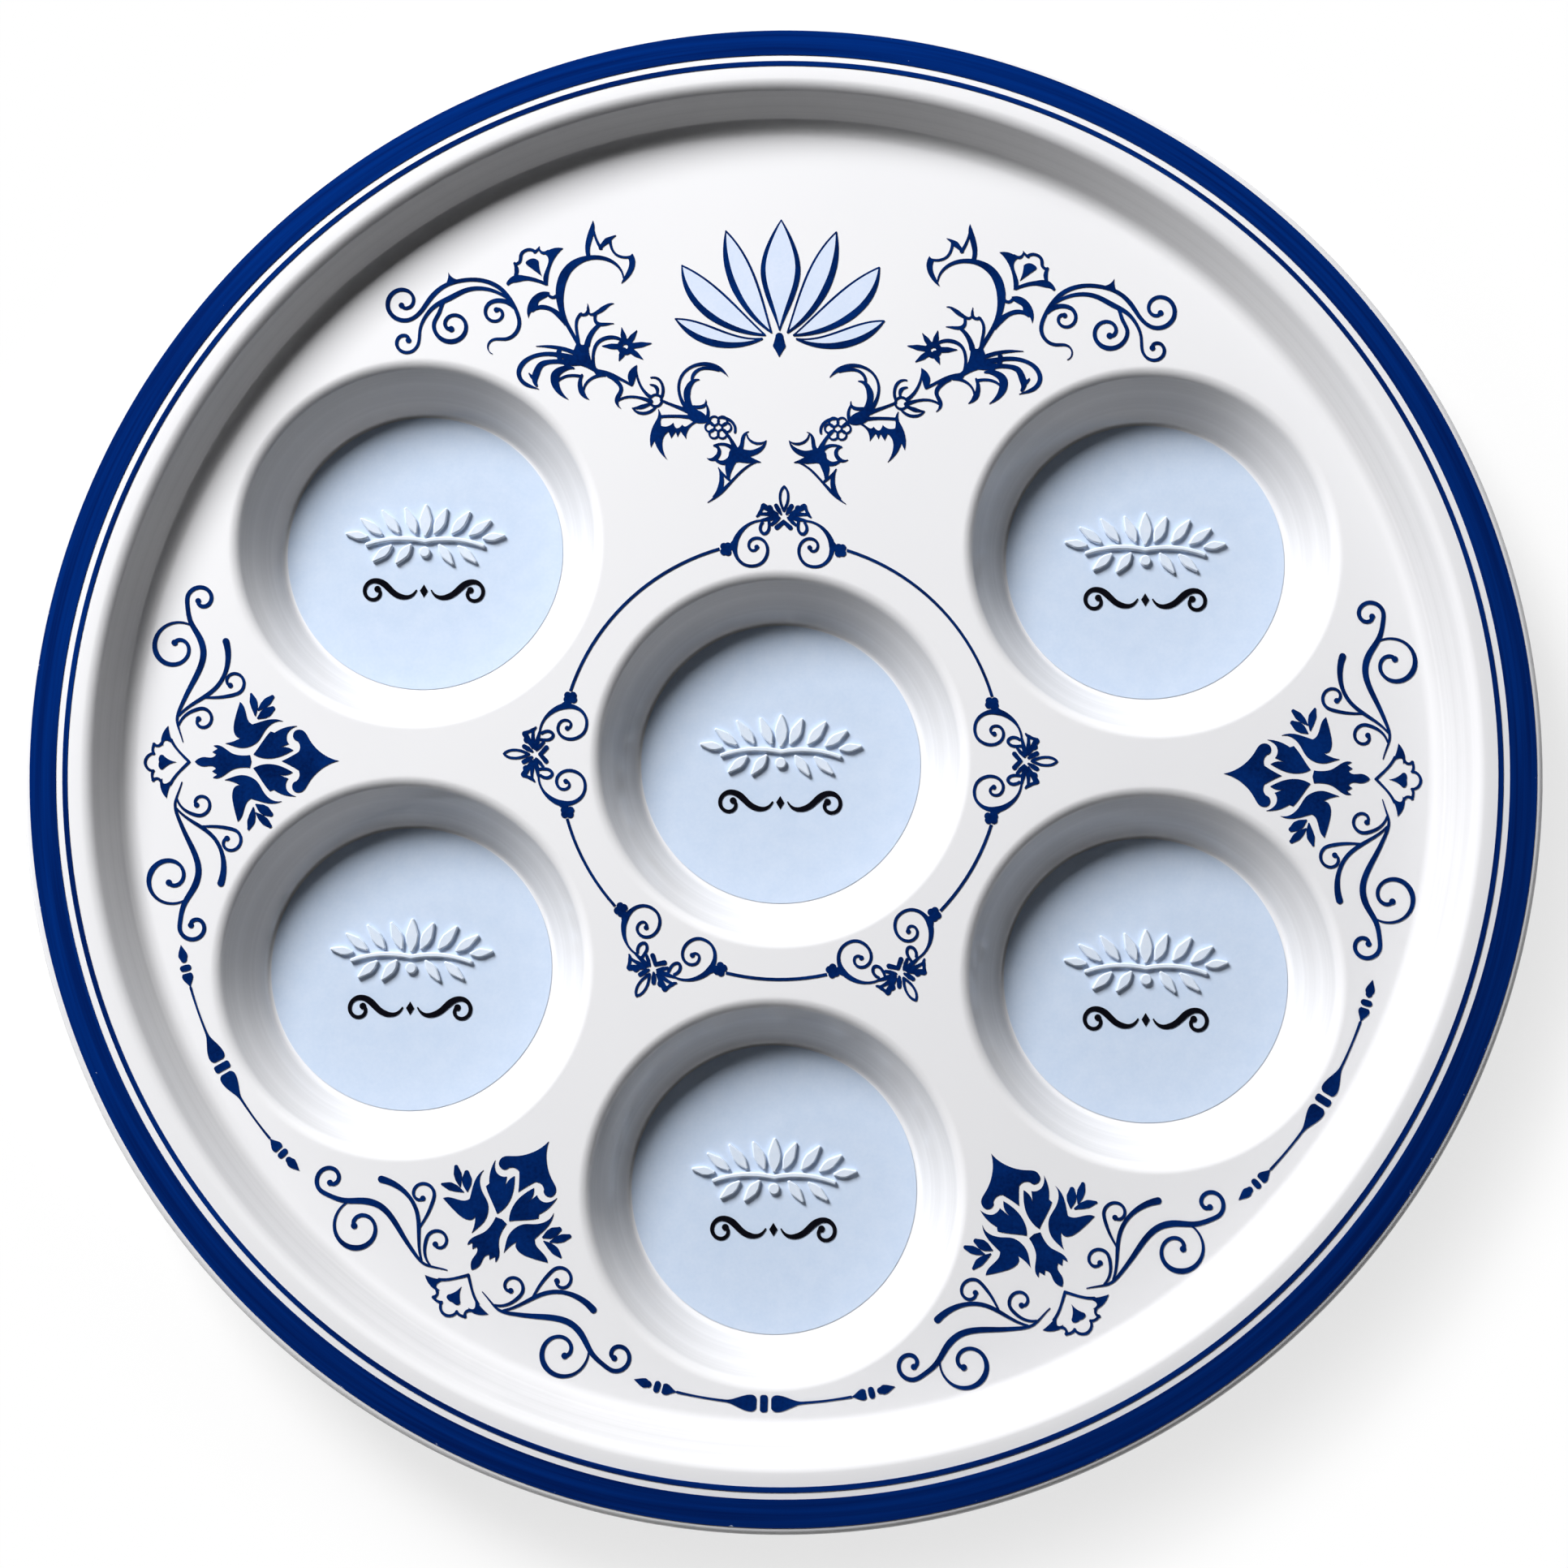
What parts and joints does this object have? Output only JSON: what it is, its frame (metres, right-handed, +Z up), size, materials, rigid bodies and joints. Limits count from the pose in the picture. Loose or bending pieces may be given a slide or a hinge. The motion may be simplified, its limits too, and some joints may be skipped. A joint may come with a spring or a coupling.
{
  "type": "seder plate",
  "caption": "Round white melamine dish with a raised rim and shallow round wells for ritual foods, printed with blue scrollwork and standing on low foot rings.",
  "frame": {"origin": "on the table under the middle of the centre well", "axes": "+Z up out of the face, +Y to the top of the plate as the print is read, +X to the right"},
  "size_m": [0.307, 0.307, 0.0236],
  "materials": {
    "melamine": "glossy white melamine",
    "rim_print": "deep blue print under gloss",
    "ornament_print": "navy print under gloss",
    "floor_print": "pale blue print under gloss",
    "sprig_relief": "pale blue raised print",
    "flourish_print": "near-black print",
    "crest_print": "pale blue print under gloss"
  },
  "bodies": {
    "root": {"bottom_flourish": "flourish_print", "bottom_sprig": "sprig_relief", "bottom_well_foil": "floor_print", "cartouche_left": "ornament_print", "cartouche_lower_left": "ornament_print", "cartouche_lower_right": "ornament_print", "cartouche_right": "ornament_print", "cartouche_top": "ornament_print", "centre_flourish": "flourish_print", "centre_sprig": "sprig_relief", "centre_well_foil": "floor_print", "crest_fill": "crest_print", "crest_lines": "ornament_print", "frame_line": "ornament_print", "garland_left": "ornament_print", "garland_right": "ornament_print", "lower_left_flourish": "flourish_print", "lower_left_sprig": "sprig_relief", "lower_left_well_foil": "floor_print", "lower_right_flourish": "flourish_print", "lower_right_sprig": "sprig_relief", "lower_right_well_foil": "floor_print", "palmette_left": "ornament_print", "palmette_lower_left": "ornament_print", "palmette_lower_right": "ornament_print", "palmette_right": "ornament_print", "plate_body": "melamine", "rim_band": "rim_print", "rim_line": "rim_print", "spindle_bottom": "ornament_print", "spindle_lower_left": "ornament_print", "spindle_lower_right": "ornament_print", "upper_left_flourish": "flourish_print", "upper_left_sprig": "sprig_relief", "upper_left_well_foil": "floor_print", "upper_right_flourish": "flourish_print", "upper_right_sprig": "sprig_relief", "upper_right_well_foil": "floor_print"}
  },
  "joints": []
}
